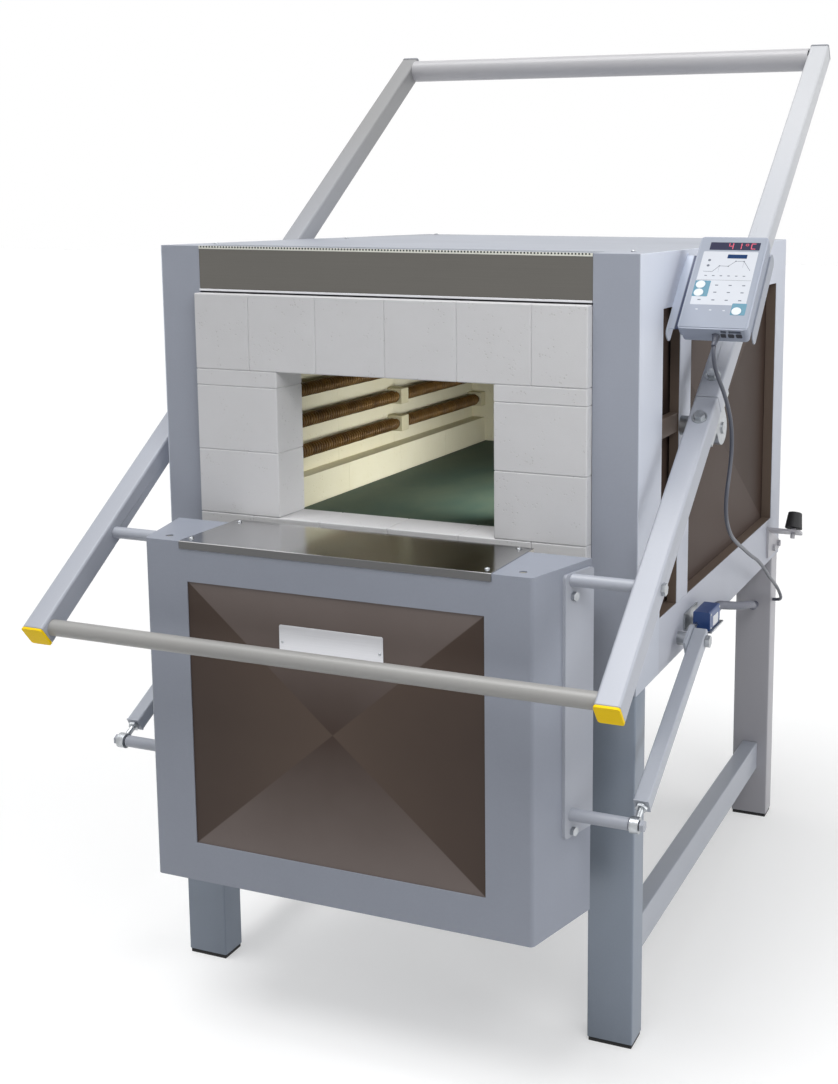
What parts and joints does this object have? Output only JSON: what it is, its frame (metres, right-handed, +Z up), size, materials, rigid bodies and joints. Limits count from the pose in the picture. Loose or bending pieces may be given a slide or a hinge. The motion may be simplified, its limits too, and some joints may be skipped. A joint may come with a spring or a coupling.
{
  "type": "heat treating furnace",
  "caption": "Front-loading chamber furnace on a stand, with a counterbalanced door that swings down and forward on parallel arms, brick-lined chamber, wall heating coils and a side controller.",
  "frame": {"origin": "middle of the bounding box's base, on the floor, without the two cables", "axes": "+X to the furnace's right seen from its door, +Y from the door to the back, +Z up"},
  "size_m": [1.1066, 1.3774, 1.7385],
  "materials": {
    "body_paint": "satin grey-blue paint",
    "panel_paint": "satin brown paint",
    "stainless": "brushed",
    "zinc": "zinc plated",
    "brick": "rough insulating firebrick",
    "fibre": "ceramic fibre board",
    "hearth": "dark silicon carbide",
    "ceramic_white": "cream fired ceramic",
    "heating_wire": "oxidised brown",
    "probe_sheath": "heat-tinted",
    "black_rubber": "matt",
    "cap_plastic": "yellow at the front ends, grey at the rear",
    "pad_black": "matt",
    "switch_blue": "semi-gloss",
    "plunger_steel": "bright",
    "controller_case": "fine satin",
    "controller_membrane": "smooth printed film",
    "key_white": "smooth",
    "cable_grey": "dark grey sheath",
    "conduit_grey": "ribbed grey"
  },
  "bodies": {
    "furnace": {"legs": "body_paint", "foot_pads": "pad_black", "stand_rails": "body_paint", "front_columns": "body_paint", "side_frames": "body_paint", "side_panels": "panel_paint", "top_cover": "body_paint", "fascia_strip": "stainless", "rear_panel": "body_paint", "front_apron": "body_paint", "floor_pan": "body_paint", "lintel_bricks": "brick", "jamb_bricks": "brick", "sill_bricks": "brick", "wall_bricks": "brick", "roof_bricks": "brick", "floor_bricks": "brick", "curb_bricks": "brick", "hearth_plate": "hearth", "insulation_boards": "fibre", "element_tubes": "ceramic_white", "heating_coils": "heating_wire", "element_holders": "ceramic_white", "temperature_probe": "probe_sheath", "pivot_posts": "body_paint", "pivot_shafts": "zinc", "link_bolts": "zinc", "switch_bracket": "zinc", "limit_switch": "switch_blue", "buffer_brackets": "body_paint", "rubber_buffers": "black_rubber", "controller_bracket": "body_paint", "controller_housing": "controller_case", "controller_face": "controller_membrane", "controller_cable": "cable_grey", "switch_conduit": "conduit_grey"},
    "arm_frame": {"arm_right": "body_paint", "arm_left": "body_paint", "end_caps": "cap_plastic", "handle_bar": "body_paint", "rear_crossbar": "body_paint", "bearing_blocks": "zinc", "arm_bolts": "zinc"},
    "door": {"door_shell": "body_paint", "door_front_panel": "panel_paint", "door_top_cover": "stainless", "door_insulation": "fibre", "door_bars": "body_paint", "door_bolts": "zinc"},
    "lower_link_right": {"link_right": "body_paint", "rod_end_right": "zinc"},
    "lower_link_left": {"link_left": "body_paint", "rod_end_left": "zinc"},
    "switch_pin": {"switch_plunger": "plunger_steel"},
    "key_1": {"controller_key_1": "key_white"},
    "key_2": {"controller_key_2": "key_white"},
    "key_3": {"controller_key_3": "key_white"}
  },
  "joints": [
    {"name": "arm_swing", "type": "hinge", "parent": "furnace", "child": "arm_frame", "pos_m": [-0.03175, -0.15583, 1.0215], "axis": [-1, 0, 0], "range_deg": [0, 62.5]},
    {"name": "door_level", "type": "hinge", "parent": "arm_frame", "child": "door", "pos_m": [-0.03175, -0.49677, 0.82878], "axis": [-1, 0, 0], "range_deg": [-62.5, 0]},
    {"name": "link_right_swing", "type": "hinge", "parent": "furnace", "child": "lower_link_right", "pos_m": [0.44525, -0.15583, 0.6445], "axis": [-1, 0, 0], "range_deg": [0, 62.5]},
    {"name": "link_left_swing", "type": "hinge", "parent": "furnace", "child": "lower_link_left", "pos_m": [-0.50875, -0.15583, 0.6445], "axis": [-1, 0, 0], "range_deg": [0, 62.5]},
    {"name": "switch_press", "type": "slide", "parent": "furnace", "child": "switch_pin", "axis": [0, 1, 0], "range_m": [0, 0.003], "stiffness_N_per_m": 400},
    {"name": "key_1_press", "type": "slide", "parent": "furnace", "child": "key_1", "axis": [0, 0.7145, -0.6997], "range_m": [0, 0.0005], "stiffness_N_per_m": 1500},
    {"name": "key_2_press", "type": "slide", "parent": "furnace", "child": "key_2", "axis": [0, 0.7145, -0.6997], "range_m": [0, 0.0005], "stiffness_N_per_m": 1500},
    {"name": "key_3_press", "type": "slide", "parent": "furnace", "child": "key_3", "axis": [0, 0.7145, -0.6997], "range_m": [0, 0.0005], "stiffness_N_per_m": 1500}
  ],
  "couplings": [
    {"joint": "door_level", "follows": "arm_swing", "ratio": -1},
    {"joint": "link_right_swing", "follows": "arm_swing", "ratio": 1},
    {"joint": "link_left_swing", "follows": "arm_swing", "ratio": 1}
  ]
}
